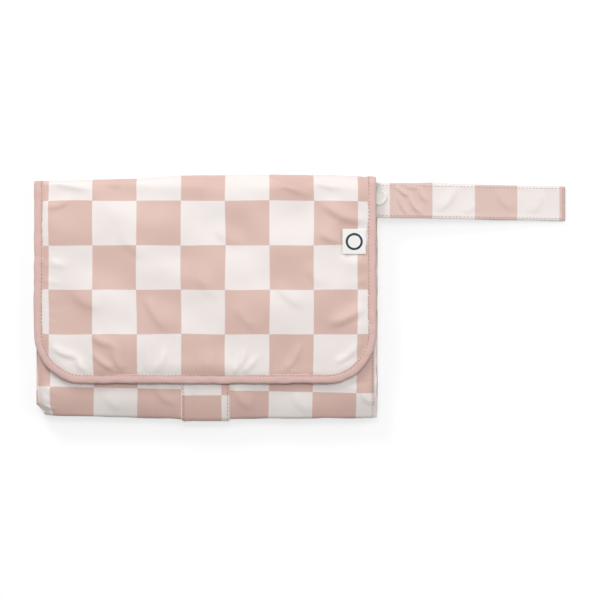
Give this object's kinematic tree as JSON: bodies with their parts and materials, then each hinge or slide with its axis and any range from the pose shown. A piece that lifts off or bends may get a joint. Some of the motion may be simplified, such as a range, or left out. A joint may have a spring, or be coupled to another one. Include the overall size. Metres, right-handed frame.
{
  "type": "changing pad",
  "caption": "Folding padded changing mat in a clutch: front pocket under a bound flap, wrist strap loop with snap, label tab, two mat panels folded behind.",
  "frame": {"origin": "middle of the back face that the folded pad lies on", "axes": "+Z away from the surface that it lies on, +Y towards the edge that the flap hangs from, +X towards the wrist strap"},
  "size_m": [0.5162, 0.24, 0.0316],
  "materials": {
    "checked_cloth": "satin coated polyester, woven checks of rose and cream",
    "wipe_clean_lining": "smooth wipe-clean coating",
    "foam": "open-cell foam",
    "batting": "matt fibre batting",
    "rose_binding": "woven bias tape",
    "mesh": "open knitted mesh",
    "hook_and_loop": "matt hook and loop tape",
    "snap_plastic": "satin moulded acetal",
    "label_tape": "woven satin label tape"
  },
  "bodies": {
    "clutch": {"back_panel_lining": "wipe_clean_lining", "back_panel_foam": "foam", "back_panel_cloth": "checked_cloth", "back_panel_binding": "rose_binding", "front_pocket_cloth": "checked_cloth", "front_pocket_lining": "wipe_clean_lining", "front_pocket_batting": "batting", "pocket_gusset_left": "checked_cloth", "pocket_gusset_right": "checked_cloth", "pocket_side_hem": "checked_cloth", "mesh_pocket": "mesh", "mesh_pocket_tape": "rose_binding", "centre_band": "checked_cloth", "loop_tape": "hook_and_loop", "strap_root": "checked_cloth", "strap_root_bend": "checked_cloth", "snap_socket": "snap_plastic"},
    "flap": {"flap_lining": "wipe_clean_lining", "flap_batting": "batting", "flap_cloth": "checked_cloth", "flap_binding": "rose_binding", "hook_tape": "hook_and_loop", "top_fold": "checked_cloth"},
    "mat_middle": {"middle_panel_cloth": "checked_cloth", "middle_panel_foam": "foam", "middle_panel_lining": "wipe_clean_lining", "middle_panel_binding": "rose_binding", "bottom_fold": "checked_cloth"},
    "mat_end": {"end_panel_cloth": "checked_cloth", "end_panel_foam": "foam", "end_panel_lining": "wipe_clean_lining", "end_panel_binding": "rose_binding", "end_fold": "checked_cloth"},
    "strap_back": {"strap_back_layer": "checked_cloth"},
    "strap_front": {"strap_front_layer": "checked_cloth", "strap_end_fold": "checked_cloth"},
    "strap_free_tip": {"strap_tip": "checked_cloth", "strap_tip_bend": "checked_cloth", "snap_cap": "snap_plastic", "snap_stud": "snap_plastic"},
    "label": {"side_label": "label_tape"}
  },
  "joints": [
    {"name": "flap_fold", "type": "hinge", "parent": "clutch", "child": "flap", "pos_m": [0, 0.11002, 0.02053], "axis": [-1, 0, 0], "range_deg": [0, 180], "deforming": ["top_fold", "flap_binding"]},
    {"name": "mat_unfold", "type": "hinge", "parent": "clutch", "child": "mat_middle", "pos_m": [0, -0.1127, 0.0073], "axis": [-1, 0, 0], "range_deg": [0, 180], "deforming": ["bottom_fold"]},
    {"name": "end_unfold", "type": "hinge", "parent": "mat_middle", "child": "mat_end", "pos_m": [0, 0.1152, 0.0048], "axis": [-1, 0, 0], "range_deg": [0, 180], "deforming": ["end_fold"]},
    {"name": "strap_swing", "type": "hinge", "parent": "clutch", "child": "strap_back", "pos_m": [0.1775, 0.0926, 0.0172], "axis": [0, -1, 0], "range_deg": [-80, 90], "deforming": ["strap_root_bend"]},
    {"name": "strap_open", "type": "hinge", "parent": "strap_back", "child": "strap_front", "pos_m": [0.34686, 0.0926, 0.0025], "axis": [0, 1, 0], "range_deg": [0, 180], "deforming": ["strap_end_fold"]},
    {"name": "tip_bend", "type": "hinge", "parent": "strap_front", "child": "strap_free_tip", "pos_m": [0.1775, 0.0926, 0.0172], "axis": [0, -1, 0], "range_deg": [-90, 80], "deforming": ["strap_tip_bend"]},
    {"name": "label_lift", "type": "hinge", "parent": "flap", "child": "label", "pos_m": [0.1544, 0.05405, 0.0312], "axis": [0, 1, 0], "range_deg": [0, 150]}
  ],
  "couplings": [
    {"joint": "end_unfold", "follows": "mat_unfold", "ratio": 1},
    {"joint": "tip_bend", "follows": "strap_swing", "ratio": -1}
  ]
}
